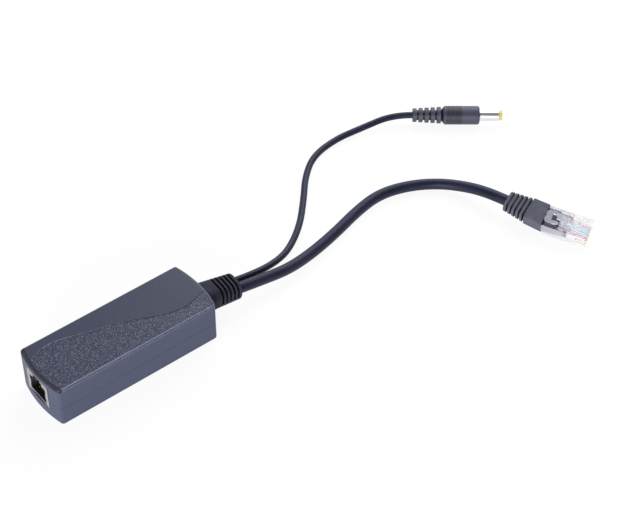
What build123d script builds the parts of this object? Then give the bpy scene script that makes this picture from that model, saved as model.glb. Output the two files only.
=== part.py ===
from build123d import *
import os
from math import radians, tan

# Power-over-Ethernet splitter: a two-shell housing with a shielded network jack in its front end
# and a strain relief at its rear end, from which a network lead and a DC lead run to their plugs.
# Millimetres. +X runs from the jack to the leads, +Z is up, and the origin is the middle of the
# housing's underside.

os.makedirs("parts", exist_ok=True)

# Housing
body_length = 84.0
body_width = 30.0
body_height = 22.0
end_bow = 2.0
wall = 2.0
seam_height = 10.0
top_round = 1.5
base_round = 1.2
corner_round = 1.5
least_round = 0.5
lip_height = 1.2
lip_thickness = 0.8
lip_gap = 0.1
step_depth = 0.25
band_height = 1.9
fit_gap = 0.2

# The S-shaped line on the top, as shares of the half length and of the half width
s_line_shares = [
    (-1.024, 0.24), (-0.857, 0.567), (-0.69, 0.653), (-0.381, 0.44), (0.083, 0.047),
    (0.452, -0.4), (0.667, -0.527), (0.857, -0.44), (1.024, -0.293),
]

# Circuit board and the posts that hold it. Wires, leads and their small holes have fine_sides sides,
# which keeps the facets few.
board_bottom = 4.3
board_thickness = 1.6
board_gap = 0.3
board_top = board_bottom + board_thickness
post_inset = 4.2, 2.4
post_radius = 1.6
post_space = 0.4
pin_radius = 0.9
pin_gap = 0.1
pin_stand = 1.5
lead_radius = 0.3
fine_sides = 8
lead_stub = 0.8
wire_pad_reach = 5.3
wire_pad_first = -6.6
wire_pad_pitch = 1.27
dc_pads = 4.1, 5.9

# Components on the board
edge_space = 0.5
chip_stand = 0.2
lan_size = 10.6, 7.0, 5.8
lan_reach = 1.0
bridge_size = 4.8, 3.8, 2.6
bridge_reach = 0.9
bridge_pitch = 5.4
controller_size = 5.0, 3.9, 1.6
controller_reach = 1.0
coupler_size = 4.6, 5.0, 3.4
coupler_reach = 0.8
diode_size = 3.4, 4.4, 2.3
diode_reach = 0.6
chip_column = 6.6
can_radius = 3.15
can_headroom = 2.1
can_edge = 0.4
can_groove = 1.6
can_pitch = 2.5
disc_radius = 4.0
disc_thickness = 3.0
disc_stand = 1.0
disc_pitch = 5.0
disc_edge = 0.8
drum_radius = 3.0
drum_height = 8.0
drum_flange = 1.2
core_size = 10.4
core_leg = 2.6
rail_height = 2.9
bobbin_gap = 0.1
bobbin_wall = 0.6
bobbin_pin_pitch = 2.5
flange_height = 3.9
winding_round = 1.5
passive_size = 2.0, 1.25, 0.6
passive_pitch = 3.2, 2.4

# Network jack
jack_width = 16.0
jack_headroom = 1.7
jack_length = 18.0
jack_setback = 0.4
jack_sheet = 0.35
socket_width = 11.9
socket_floor = 1.2
socket_lintel = 0.4
socket_depth = 13.5
notch_width = 6.8
notch_height = 1.5
latch_width = 4.4
latch_height = 0.9
jack_pins = 8
jack_pitch = 1.02
contact_width = 0.35
contact_slot = 0.55
leg_width = 1.2
leg_below_board = 1.1
leg_hole_radius = 0.75
tail_hole_radius = 0.42
tail_back = 3.4, 5.8
finger_height = 3.0
finger_length = 4.0
finger_lean = 0.6
finger_sheet = 0.25
finger_gap = 0.05
slot_start = 1.6
slot_end = 1.0
contact_reach = 8.2
contact_rise = 4.6

# Leads
network_diameter = 5.3
dc_diameter = 3.2
lead_spacing = 5.0
lead_offset = 0.4
jacket_inside = 1.75
knee_radius = 30.0

# Strain relief
collar_width = 14.0
collar_height = 11.0
collar_round = 4.6
neck_width = 11.6
neck_height = 8.6
neck_round = 3.4
groove_gap = 0.05
flange_thickness = 1.9
knee_out = 2.5
relief_length = 16.4
relief_end_width = 12.6
relief_end_height = 9.2
relief_end_round = 3.9
relief_edge = 1.2
relief_droop = 8.0
relief_turn = 3.5
slot_count = 5
slot_first = 5.0
slot_pitch = 2.1
slot_width = 1.0
bridge_height = 1.7
bridge_drop = 2.0
core_width = 10.9
core_height = 7.0
core_round = 3.4

# Modular plug and its boot
plug_width = 11.68
plug_height = 6.6
plug_length = 21.9
plug_roll = 15.3
plug_turn = 6.2
plug_dip = 1.5
boot_length = 19.7
boot_rise = 0.8
boot_front_width = 12.6
boot_front_height = 6.8
boot_block_width = 12.0
tongue_width = 10.0
tongue_height = 4.8
tongue_length = 6.0
arm_length = 12.0
arm_thickness = 0.85
boot_waist_width = 11.4
boot_waist = 8.4
boot_tail_width = 9.8
boot_tail_height = 6.6
boot_tail_round = 2.8
boot_round = 1.2
boot_ribs = 5
boot_rib_first = 1.35
boot_rib_pitch = 2.2
boot_groove_width = 0.95
boot_groove_depth = 0.9
blade_pitch = 1.0
blade_width = 0.35
blade_slot = 0.45
blade_height = 2.0
blade_length = 5.5
blade_end = 21.3
wire_diameter = 0.86
wire_level = -0.6
wire_splay = 13.0
cavity_width = 10.2
cavity_height = 5.0
cavity_depth = 12.5
channel_width = 8.2
channel_height = 1.3
lever_root = 20.9
lever_end = 6.0
lever_rise = 2.3
lever_thickness = 1.0
lever_width = 3.2
lever_shoulder = 14.0
lever_shoulder_width = 6.2
rim_start = 0.2
rim_length = 7.0
rim_width = 6.6
rim_opening = 3.4
rim_back = 3.4
rim_notch = 0.6
rim_round = 1.6
rim_height = 0.9
jacket_grip = 7.0
jacket_flat_width = 6.4
jacket_flat_height = 4.4

# DC plug, a 5.5 mm barrel with a 2.1 mm bore
dc_relief_length = 15.8
dc_grip_length = 17.2
dc_grip_radius = 4.6
dc_core_radius = 2.5
dc_rib_start = 3.4
dc_rib_end = 4.1
dc_rib_count = 5
dc_rib_width = 1.9
dc_rib_pitch = 3.0
dc_edge = 0.6
dc_jacket_end = 16.0
dc_wire_diameter = 1.0
dc_wire_spacing = 1.56
barrel_length = 9.6
barrel_radius = 2.75
barrel_wall = 0.4
barrel_bury = 5.0
barrel_shoulder = 0.3
shank_radius = 2.55
tip_length = 1.7
tip_radius = 2.55
bore_radius = 1.05
contact_radius = 1.6

inner_top = body_height - wall
jack_height = inner_top - board_top - jack_headroom
socket_height = jack_height - socket_floor - notch_height - latch_height - socket_lintel
can_height = inner_top - board_top - can_headroom
flange_x = body_length / 2 - wall - groove_gap - flange_thickness
jacket_start = flange_x - jacket_inside
wire_pad_x = jacket_start - wire_pad_reach
jack_front = -body_length / 2 + jack_setback
tail_rows = [jack_front + jack_length - back for back in tail_back]
pin_places = [(i - (jack_pins - 1) / 2) * jack_pitch for i in range(jack_pins)]
leg_x = jack_front + jack_length / 2
leg_y = jack_width / 2 - jack_sheet / 2
board_half_x = body_length / 2 - end_bow - wall - board_gap
board_half_y = body_width / 2 - wall - board_gap
front_post_x = jack_front + jack_length + post_space + post_radius
rear_post_x = board_half_x - post_inset[0]
post_y = board_half_y - post_inset[1]


def finish(piece, name):
    piece.part.label = name
    export_step(piece.part, f"parts/{name}.step")


def plan_outline(inset=0.0):
    """The housing from above, with straight sides and bowed ends, drawn in by inset."""
    corner_x = body_length / 2 - end_bow - inset
    end_x = body_length / 2 - inset
    side_y = body_width / 2 - inset
    with BuildSketch() as plan:
        with BuildLine():
            Line((-corner_x, -side_y), (corner_x, -side_y))
            ThreePointArc((corner_x, -side_y), (end_x, 0), (corner_x, side_y))
            Line((corner_x, side_y), (-corner_x, side_y))
            ThreePointArc((-corner_x, side_y), (-end_x, 0), (-corner_x, -side_y))
        make_face()
        fillet(plan.vertices(), max(corner_round - inset, least_round))
    return plan.sketch


# The space that both shells leave open: the window for the jack in the front wall and the hole for
# the relief's neck in the rear one.
with BuildPart() as end_openings:
    with BuildSketch(Plane.YZ.offset(-body_length / 2 - wall)):
        with Locations((0, board_top + jack_height / 2)):
            Rectangle(jack_width + 2 * fit_gap, jack_height + 2 * fit_gap)
    extrude(amount=end_bow + 3 * wall)
    with BuildSketch(Plane.YZ.offset(body_length / 2 - end_bow - 2 * wall)):
        with Locations((0, body_height / 2)):
            RectangleRounded(neck_width, neck_height, neck_round)
    extrude(amount=end_bow + 3 * wall)

post_places = [(x, y) for x in (front_post_x, rear_post_x) for y in (-post_y, post_y)]

# Lower shell: an open tray with a raised lip that enters the upper shell, and four posts whose
# pins locate the circuit board.
with BuildPart() as lower_shell:
    with BuildSketch():
        add(plan_outline())
    extrude(amount=seam_height)
    fillet(lower_shell.faces().sort_by(Axis.Z)[0].edges(), base_round)
    with BuildSketch(Plane.XY.offset(wall)):
        add(plan_outline(wall))
    extrude(amount=seam_height - wall, mode=Mode.SUBTRACT)
    with BuildSketch(Plane.XY.offset(seam_height)):
        add(plan_outline(wall - lip_thickness))
        add(plan_outline(wall), mode=Mode.SUBTRACT)
    extrude(amount=lip_height)
    with BuildSketch(Plane.XY.offset(wall)):
        with Locations(post_places):
            Circle(post_radius)
    extrude(amount=board_bottom - wall)
    with BuildSketch(Plane.XY.offset(board_bottom)):
        with Locations(post_places):
            Circle(pin_radius)
    extrude(amount=board_thickness + pin_stand)
    add(end_openings.part, mode=Mode.SUBTRACT)
finish(lower_shell, "lower_shell")

# Upper shell: a lid with rounded top edges. An S-shaped line crosses its top, and the side of the
# line next to the near long edge lies a little lower, down over that edge too.
with BuildPart() as upper_shell:
    with BuildSketch(Plane.XY.offset(seam_height)):
        add(plan_outline())
    extrude(amount=body_height - seam_height)
    fillet(upper_shell.faces().sort_by(Axis.Z)[-1].edges(), top_round)
    with BuildSketch(Plane.XY.offset(body_height - step_depth)):
        with BuildLine():
            s_line = Spline([(x * body_length / 2, y * body_width / 2) for x, y in s_line_shares])
            Polyline(s_line @ 1, (body_length, -body_width), (-body_length, -body_width), s_line @ 0)
        make_face()
    extrude(amount=2 * step_depth, mode=Mode.SUBTRACT)
    with BuildSketch(Plane.XY.offset(body_height - band_height)):
        with Locations((0, -body_width / 2)):
            Rectangle(body_length, 2 * step_depth)
    extrude(amount=band_height, mode=Mode.SUBTRACT)
    with BuildSketch(Plane.XY.offset(seam_height)):
        add(plan_outline(wall))
    extrude(amount=inner_top - seam_height, mode=Mode.SUBTRACT)
    with BuildSketch(Plane.XY.offset(seam_height)):
        add(plan_outline(wall - lip_thickness - lip_gap))
    extrude(amount=lip_height + lip_gap, mode=Mode.SUBTRACT)
    with BuildSketch(Plane.XY.offset(board_top)):
        with Locations(post_places):
            Circle(post_radius)
            Circle(pin_radius + pin_gap, mode=Mode.SUBTRACT)
    extrude(amount=inner_top - board_top)
    add(end_openings.part, mode=Mode.SUBTRACT)
finish(upper_shell, "upper_shell")


def socket_outline():
    """The jack's mouth from the front: full width below, stepped up to the latch slot above."""
    lift = board_top + socket_floor
    below = (Align.CENTER, Align.MIN)
    with BuildSketch() as mouth:
        with Locations((0, lift)):
            Rectangle(socket_width, socket_height, align=below)
            Rectangle(notch_width, socket_height + notch_height, align=below)
            Rectangle(latch_width, socket_height + notch_height + latch_height, align=below)
    return mouth.sketch


# Shield of the jack: folded tinned sheet over the top, the sides and the back, with a flat front
# frame, two legs through the board and a sprung finger bent into each side of the mouth.
with BuildPart() as jack_shield:
    with BuildSketch(Plane.YZ.offset(jack_front)):
        with Locations((0, board_top)):
            Rectangle(jack_width, jack_height, align=(Align.CENTER, Align.MIN))
    extrude(amount=jack_length)
    with BuildSketch(Plane.YZ.offset(jack_front + jack_sheet)):
        with Locations((0, board_top)):
            Rectangle(
                jack_width - 2 * jack_sheet, jack_height - jack_sheet, align=(Align.CENTER, Align.MIN)
            )
    extrude(amount=jack_length - 2 * jack_sheet, mode=Mode.SUBTRACT)
    with BuildSketch(Plane.YZ.offset(jack_front)):
        add(socket_outline())
    extrude(amount=jack_sheet, mode=Mode.SUBTRACT)
    with BuildSketch(Plane.XY.offset(board_top)):
        with Locations((leg_x, leg_y), (leg_x, -leg_y)):
            Rectangle(leg_width, jack_sheet)
    extrude(amount=-board_thickness - leg_below_board)
    with BuildSketch(Plane.XY.offset(board_top + socket_floor + (socket_height - finger_height) / 2)):
        for side in (-1, 1):
            edge = socket_width / 2
            tip = edge - finger_lean
            with BuildLine():
                Polyline(
                    (jack_front, side * (edge + jack_sheet)),
                    (jack_front + jack_sheet, side * (edge + jack_sheet)),
                    (jack_front + jack_sheet, side * (edge - finger_gap)),
                    (jack_front + finger_length, side * tip),
                    (jack_front + finger_length, side * (tip - finger_sheet)),
                    (jack_front, side * (edge - finger_gap - finger_sheet)),
                    close=True,
                )
            make_face()
    extrude(amount=finger_height)
finish(jack_shield, "jack_shield")

# Insulator of the jack: a black block with the plug's cavity and one open slot in its floor for
# each spring contact.
with BuildPart() as jack_insulator:
    with BuildSketch(Plane.YZ.offset(jack_front + jack_sheet)):
        with Locations((0, board_top)):
            Rectangle(
                jack_width - 2 * jack_sheet, jack_height - jack_sheet, align=(Align.CENTER, Align.MIN)
            )
    extrude(amount=jack_length - 2 * jack_sheet)
    with BuildSketch(Plane.YZ.offset(jack_front + jack_sheet)):
        add(socket_outline())
        with Locations((0, board_top + socket_floor)):
            Rectangle(latch_width, jack_height, align=(Align.CENTER, Align.MIN))
    extrude(amount=socket_depth, mode=Mode.SUBTRACT)
    with BuildSketch(Plane.XY.offset(board_top)):
        with Locations([(jack_front + slot_start, y) for y in pin_places]):
            Rectangle(
                jack_length - slot_start - slot_end, contact_slot, align=(Align.MIN, Align.CENTER)
            )
    extrude(amount=socket_floor, mode=Mode.SUBTRACT)
finish(jack_insulator, "jack_insulator")

# Spring contacts of the jack: each wire rises through the board, runs forward under the floor, turns
# back on itself and slants up into the cavity.
contact_level = board_top + socket_floor / 2
bend_x = jack_front + slot_start + contact_width
with BuildPart() as jack_contacts:
    for i, y in enumerate(pin_places):
        tail_x = tail_rows[i % 2]
        with BuildLine() as wire_line:
            FilletPolyline(
                (tail_x, y, board_bottom - 1.0),
                (tail_x, y, contact_level),
                (bend_x, y, contact_level),
                (bend_x + 1.2, y, contact_level + 1.3),
                (bend_x + contact_reach, y, contact_level + contact_rise),
                radius=[0.6, 0.35, 1.0],
            )
        with BuildSketch(Plane(origin=wire_line.line @ 0, z_dir=wire_line.line % 0)):
            Rectangle(contact_width, contact_width)
        sweep(path=wire_line.line)
finish(jack_contacts, "jack_contacts")

# Strain relief and the two leads: all leave the rear wall level, then bend down a little together.
relief_dir = Vector(1, 0, 0).rotate(Axis.Y, relief_droop).rotate(Axis.Z, -relief_turn)
relief_side = Vector(0, 0, 1).cross(relief_dir).normalized()
knee = Vector(body_length / 2 + knee_out, 0, body_height / 2)
relief_end = knee + relief_dir * relief_length
network_offset = lead_offset - lead_spacing / 2
dc_offset = lead_offset + lead_spacing / 2


def corner_radii(route):
    """One radius for each inner corner, from its shorter run and the angle that it turns."""
    radii = []
    for before, corner, after in zip(route, route[1:], route[2:]):
        arriving = corner - before
        leaving = after - corner
        turn = radians(arriving.get_angle(leaving))
        radii.append(0.45 * min(arriving.length, leaving.length) / tan(turn / 2))
    return radii


network_exit = relief_end + relief_side * network_offset
network_route = [network_exit, network_exit + relief_dir * 14.0] + [
    Vector(x, y, z) for x, y, z in (
        (88.5, -4.5, 5.0), (104.5, -1.5, 3.2), (121.0, 2.5, 2.7), (138.0, 7.5, 2.7),
        (153.5, 10.0, 2.7), (168.5, 6.0, 2.7), (181.0, -2.0, 2.8), (188.5, -13.5, 4.6),
        (191.4, -25.8, 7.8), (194.6, -34.7, 7.3),
    )
]
dc_exit = relief_end + relief_side * dc_offset
dc_route = [dc_exit, dc_exit + relief_dir * 12.5] + [
    Vector(x, y, z) for x, y, z in (
        (86.0, 3.0, 4.4), (99.0, 9.0, 2.1), (111.5, 18.5, 1.7), (122.5, 31.0, 1.7),
        (135.0, 42.0, 1.7), (147.5, 52.0, 1.7), (162.5, 55.0, 1.7), (179.5, 52.5, 2.6),
        (194.5, 48.5, 4.7), (202.3, 42.3, 4.7),
    )
]
network_radii = corner_radii(network_route)
dc_radii = corner_radii(dc_route)
print("network cord arcs", [round(r, 1) for r in network_radii])
print("dc cord arcs", [round(r, 1) for r in dc_radii])

# Network lead in the open, from the relief to the boot of its plug.
with BuildPart() as network_cord:
    with BuildLine() as network_line:
        FilletPolyline(*network_route, radius=network_radii)
    with BuildSketch(Plane(origin=network_line.line @ 0, z_dir=network_line.line % 0)):
        Circle(network_diameter / 2)
    sweep(path=network_line.line)
finish(network_cord, "network_cord")

# DC lead in the open, from the relief to its plug.
with BuildPart() as dc_cord:
    with BuildLine() as dc_line:
        FilletPolyline(*dc_route, radius=dc_radii)
    with BuildSketch(Plane(origin=dc_line.line @ 0, z_dir=dc_line.line % 0)):
        Circle(dc_diameter / 2)
    sweep(path=dc_line.line)
finish(dc_cord, "dc_cord")

# The stretch of each lead that the relief holds, from its stripped end inside the housing.
network_knee = knee + relief_side * network_offset
with BuildPart() as network_cord_tail:
    with BuildLine() as network_tail_line:
        FilletPolyline(
            (jacket_start, network_knee.Y, network_knee.Z), network_knee, network_exit,
            radius=knee_radius,
        )
    with BuildSketch(Plane(origin=network_tail_line.line @ 0, z_dir=network_tail_line.line % 0)):
        Circle(network_diameter / 2)
    sweep(path=network_tail_line.line)
finish(network_cord_tail, "network_cord_tail")

dc_knee = knee + relief_side * dc_offset
with BuildPart() as dc_cord_tail:
    with BuildLine() as dc_tail_line:
        FilletPolyline(
            (jacket_start, dc_knee.Y, dc_knee.Z), dc_knee, dc_exit, radius=knee_radius
        )
    with BuildSketch(Plane(origin=dc_tail_line.line @ 0, z_dir=dc_tail_line.line % 0)):
        Circle(dc_diameter / 2)
    sweep(path=dc_tail_line.line)
finish(dc_cord_tail, "dc_cord_tail")

# Strain relief: a soft block with a flange inside the rear wall, a groove that the wall sits in, and
# a tapering body cut by five curved slots so that it can flex.
with BuildPart() as strain_relief:
    with BuildSketch(Plane.YZ.offset(flange_x)):
        with Locations((0, body_height / 2)):
            RectangleRounded(collar_width, collar_height, collar_round)
    extrude(amount=knee.X - flange_x)
    with BuildSketch():
        add(plan_outline(-groove_gap))
        add(plan_outline(wall + groove_gap), mode=Mode.SUBTRACT)
    extrude(amount=body_height, mode=Mode.SUBTRACT)
    with BuildSketch(Plane.YZ.offset(flange_x)):
        with Locations((0, body_height / 2)):
            RectangleRounded(
                neck_width - 2 * groove_gap, neck_height - 2 * groove_gap, neck_round - groove_gap
            )
    extrude(amount=knee.X - flange_x)
    with BuildSketch(Plane.YZ.offset(knee.X)):
        with Locations((0, body_height / 2)):
            RectangleRounded(collar_width, collar_height, collar_round)
    with BuildSketch(Plane(origin=relief_end, x_dir=relief_side, z_dir=relief_dir)):
        RectangleRounded(relief_end_width, relief_end_height, relief_end_round)
    loft()
    fillet(strain_relief.faces().sort_by(Axis.X)[-1].edges(), relief_edge)
    for i in range(slot_count):
        along = slot_first + i * slot_pitch
        with BuildSketch(Plane(origin=knee + relief_dir * along, x_dir=relief_side, z_dir=relief_dir)):
            Rectangle(2 * collar_width, 2 * collar_height)
            RectangleRounded(core_width, core_height, core_round, mode=Mode.SUBTRACT)
            with Locations((0, -bridge_drop)):
                Rectangle(2 * collar_width, bridge_height, mode=Mode.SUBTRACT)
        extrude(amount=slot_width, mode=Mode.SUBTRACT)
    add(network_cord_tail.part, mode=Mode.SUBTRACT)
    add(dc_cord_tail.part, mode=Mode.SUBTRACT)
finish(strain_relief, "strain_relief")


def rolled_plane(origin, heading):
    """A plane that faces along heading, rolled from the level as the plug lies."""
    across = Vector(0, 0, 1).cross(heading).normalized()
    across = across.rotate(Axis((0, 0, 0), heading), plug_roll)
    return Plane(origin=origin, x_dir=across, z_dir=heading)


# Boot of the modular plug. The plug lies rolled on one edge and turned a little from the boot.
boot_dir = (network_route[-1] - network_route[-2]).normalized()
boot_plane = rolled_plane(network_route[-1], boot_dir)
boot_front = boot_plane.offset(boot_length).origin
level_dir = Vector(boot_dir.X, boot_dir.Y, 0).normalized().rotate(Axis.Z, plug_turn)
plug_dir = (level_dir - Vector(0, 0, tan(radians(plug_dip)))).normalized()
plug_up = rolled_plane(boot_front, plug_dir).y_dir
plug_plane = rolled_plane(boot_front - plug_up * boot_rise, plug_dir)

# End of the network lead's jacket: round in the boot and pressed flat where the plug clamps it.
with BuildPart() as network_cord_plug_end:
    with BuildSketch(boot_plane):
        Circle(network_diameter / 2)
    extrude(amount=boot_length * 0.75)
    with BuildSketch(boot_plane.offset(boot_length * 0.75)):
        Circle(network_diameter / 2)
    with BuildSketch(plug_plane.offset(1.0)):
        Ellipse(jacket_flat_width / 2, jacket_flat_height / 2)
    loft()
    with BuildSketch(plug_plane.offset(1.0)):
        Ellipse(jacket_flat_width / 2, jacket_flat_height / 2)
    extrude(amount=jacket_grip - 1.0)
finish(network_cord_plug_end, "network_cord_plug_end")

with BuildPart() as plug_boot:
    with BuildSketch(boot_plane):
        RectangleRounded(boot_tail_width, boot_tail_height, boot_tail_round)
    with BuildSketch(boot_plane.offset(boot_length - boot_waist)):
        RectangleRounded(boot_waist_width, boot_front_height, boot_round)
    loft()
    with BuildSketch(boot_plane.offset(boot_length - boot_waist)):
        RectangleRounded(boot_block_width, boot_front_height, boot_round)
    with BuildSketch(plug_plane):
        with Locations((0, boot_rise)):
            RectangleRounded(boot_front_width, boot_front_height, boot_round)
    loft()
    for i in range(boot_ribs):
        along = boot_rib_first + i * boot_rib_pitch
        with BuildSketch(boot_plane.offset(along)):
            Rectangle(2 * boot_front_width, 2 * boot_front_height)
            RectangleRounded(
                boot_tail_width - 2 * boot_groove_depth, boot_tail_height - 2 * boot_groove_depth + 1.0,
                boot_tail_round - boot_groove_depth, mode=Mode.SUBTRACT,
            )
        extrude(amount=boot_groove_width, mode=Mode.SUBTRACT)
    with BuildSketch(plug_plane):
        Rectangle(tongue_width, tongue_height)
    extrude(amount=tongue_length)
    arm_x = (tongue_width - arm_thickness) / 2
    with BuildSketch(plug_plane.offset(tongue_length)):
        with Locations((arm_x, 0), (-arm_x, 0)):
            Rectangle(arm_thickness, tongue_height / 2)
    extrude(amount=arm_length - tongue_length)
    add(network_cord_plug_end.part, mode=Mode.SUBTRACT)
finish(plug_boot, "plug_boot")

# Clear body of the modular plug, open behind for the lead, with a channel for the wires, a slot for
# each blade, and its springy latch lever moulded in one piece with it. A horseshoe rim on the top
# guards the lever's free end.
lever_plane = Plane(origin=plug_plane.origin, x_dir=plug_plane.z_dir, z_dir=-plug_plane.x_dir)
plug_pins = [(i - (jack_pins - 1) / 2) * blade_pitch for i in range(jack_pins)]
top = plug_height / 2
rim_plane = Plane(
    origin=plug_plane.from_local_coords(Vector(0, top, 0)), x_dir=plug_plane.z_dir, z_dir=plug_plane.y_dir
)
with BuildPart() as plug_body:
    with BuildSketch(plug_plane):
        Rectangle(plug_width, plug_height)
    extrude(amount=plug_length)
    with BuildSketch(plug_plane):
        Rectangle(cavity_width, cavity_height)
    extrude(amount=cavity_depth, mode=Mode.SUBTRACT)
    with BuildSketch(plug_plane.offset(cavity_depth)):
        with Locations((0, wire_level)):
            Rectangle(channel_width, channel_height)
    extrude(amount=blade_end - cavity_depth, mode=Mode.SUBTRACT)
    with BuildSketch(plug_plane.offset(blade_end - blade_length - 0.1)):
        with Locations([(x, -top) for x in plug_pins]):
            Rectangle(
                blade_slot, top + wire_level - channel_height / 2, align=(Align.CENTER, Align.MIN)
            )
    extrude(amount=blade_length + 0.2, mode=Mode.SUBTRACT)
    with BuildSketch(lever_plane):
        with BuildLine():
            Polyline(
                (lever_root, top), (lever_root - 1.4, top), (lever_end, top + lever_rise),
                (lever_end, top + lever_rise + lever_thickness), (lever_root - 0.8, top + 1.1),
                close=True,
            )
        make_face()
    extrude(amount=lever_width / 2, both=True)
    with BuildSketch(lever_plane):
        with BuildLine():
            Polyline(
                (lever_root, top), (lever_root - 1.4, top), (lever_end, top + lever_rise),
                (lever_end, top + lever_rise + lever_thickness), (lever_root - 0.8, top + 1.1),
                close=True,
            )
        make_face()
        with Locations((lever_shoulder, top)):
            Rectangle(
                plug_length, plug_height, align=(Align.MIN, Align.CENTER), mode=Mode.INTERSECT
            )
    extrude(amount=lever_shoulder_width / 2, both=True)
    with BuildSketch(rim_plane):
        with Locations((rim_start + rim_length / 2, 0)):
            RectangleRounded(rim_length, rim_width, rim_round)
        with Locations((rim_back, 0)):
            Rectangle(rim_length, rim_opening, align=(Align.MIN, Align.CENTER), mode=Mode.SUBTRACT)
        with Locations((rim_start, 0)):
            Circle(rim_notch, mode=Mode.SUBTRACT)
    extrude(amount=rim_height)
finish(plug_body, "plug_body")

# Eight gold contact blades, each standing in its slot under its wire.
with BuildPart() as plug_blades:
    with BuildSketch(plug_plane.offset(blade_end - blade_length)):
        with Locations([(x, wire_level - channel_height / 2 + 0.15) for x in plug_pins]):
            Rectangle(blade_width, blade_height, align=(Align.CENTER, Align.MAX))
    extrude(amount=blade_length)
finish(plug_blades, "plug_blades")

# Eight wires from the jacket's end, spreading into one row over the blades.
with BuildPart() as plug_wires:
    for i, x in enumerate(plug_pins):
        row = 0.65 if i % 2 else -0.65
        corners = [
            plug_plane.from_local_coords(Vector(*p)) for p in (
                (x * 0.51, row, jacket_grip), (x * 0.51, row, jacket_grip + 1.2),
                (x, wire_level, wire_splay), (x, wire_level, blade_end - 0.1),
            )
        ]
        with BuildLine() as wire_line:
            Polyline(*corners)
        with BuildSketch(Plane(origin=wire_line.line @ 0, z_dir=wire_line.line % 0)):
            RegularPolygon(wire_diameter / 2, fine_sides)
        sweep(path=wire_line.line, transition=Transition.RIGHT)
finish(plug_wires, "plug_wires")

# DC plug, turned about the line that its lead ends on.
dc_end = dc_route[-1]
dc_dir = (dc_route[-1] - dc_route[-2]).normalized()
dc_axis = Axis(dc_end, dc_dir)
dc_plane = Plane(origin=dc_end, x_dir=dc_dir, z_dir=dc_dir.cross(Vector(0, 0, 1)))
dc_front = dc_relief_length + dc_grip_length
barrel_front = dc_front + barrel_length
barrel_back = dc_front - barrel_bury

# End of the DC lead's jacket, held in the ribbed relief.
with BuildPart() as dc_cord_plug_end:
    with BuildSketch(Plane(origin=dc_end, z_dir=dc_dir)):
        Circle(dc_diameter / 2)
    extrude(amount=dc_jacket_end)
finish(dc_cord_plug_end, "dc_cord_plug_end")

# Plated barrel of the DC plug: a tube with a thinner shank, which the grip holds.
barrel_bore = barrel_radius - barrel_wall
with BuildPart() as dc_barrel:
    with BuildSketch(dc_plane):
        with Locations((barrel_back, barrel_bore)):
            Rectangle(
                barrel_front - barrel_back, shank_radius - barrel_bore, align=(Align.MIN, Align.MIN)
            )
        with Locations((dc_front + barrel_shoulder, barrel_bore)):
            Rectangle(barrel_length - barrel_shoulder, barrel_wall, align=(Align.MIN, Align.MIN))
    revolve(axis=dc_axis)
finish(dc_barrel, "dc_barrel")

# Insulating sleeve inside the barrel, with the flanged tip that shows at the front.
with BuildPart() as dc_tip_insulator:
    with BuildSketch(dc_plane):
        with Locations((barrel_back, contact_radius)):
            Rectangle(
                barrel_front - barrel_back, barrel_bore - contact_radius, align=(Align.MIN, Align.MIN)
            )
        with Locations((barrel_front, bore_radius)):
            Rectangle(tip_length, tip_radius - bore_radius, align=(Align.MIN, Align.MIN))
    revolve(axis=dc_axis)
    fillet(dc_tip_insulator.edges().sort_by(dc_axis)[-1], 0.3)
finish(dc_tip_insulator, "dc_tip_insulator")

# Inner contact sleeve that grips the socket's pin.
with BuildPart() as dc_contact_sleeve:
    with BuildSketch(dc_plane):
        with Locations((barrel_back, bore_radius)):
            Rectangle(
                barrel_front - barrel_back, contact_radius - bore_radius, align=(Align.MIN, Align.MIN)
            )
    revolve(axis=dc_axis)
finish(dc_contact_sleeve, "dc_contact_sleeve")

# Moulded grip of the DC plug and its ribbed relief. The grip is solid round the jacket's end and
# has a blind bore that the barrel is set in.
with BuildPart() as dc_plug_grip:
    with BuildSketch(dc_plane):
        profile = []
        for i in range(dc_rib_count):
            rib = dc_rib_start + (dc_rib_end - dc_rib_start) * i / (dc_rib_count - 1)
            start = i * dc_rib_pitch
            profile += [
                (start, dc_core_radius if i else 0), (start, rib),
                (start + dc_rib_width, rib), (start + dc_rib_width, dc_core_radius),
            ]
        profile += [
            (dc_relief_length, dc_grip_radius), (dc_front - dc_edge, dc_grip_radius),
            (dc_front, dc_grip_radius - dc_edge), (dc_front, 0),
        ]
        with BuildLine():
            Polyline(*profile, close=True)
        make_face()
    revolve(axis=dc_axis)
    with BuildSketch(dc_plane):
        with Locations((barrel_back, 0)):
            Rectangle(barrel_length + barrel_bury, shank_radius, align=(Align.MIN, Align.MIN))
    revolve(axis=dc_axis, mode=Mode.SUBTRACT)
    add(dc_cord_plug_end.part, mode=Mode.SUBTRACT)
finish(dc_plug_grip, "dc_plug_grip")

# Places of the components: four columns behind the jack share the spare length. In a column, one
# part stands at the near edge, one at the far edge and one midway between them.
column_widths = lan_size[0], chip_column, core_size, 2 * can_radius
columns_start = front_post_x + post_radius
columns_end = wire_pad_x - wire_diameter
spare = (columns_end - columns_start - sum(column_widths)) / (len(column_widths) + 1)
column_x = [
    columns_start + sum(column_widths[:i]) + (i + 1) * spare + width / 2
    for i, width in enumerate(column_widths)
]


def near_edge(depth):
    return -board_half_y + edge_space + depth / 2


def far_edge(depth):
    return board_half_y - edge_space - depth / 2


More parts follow.
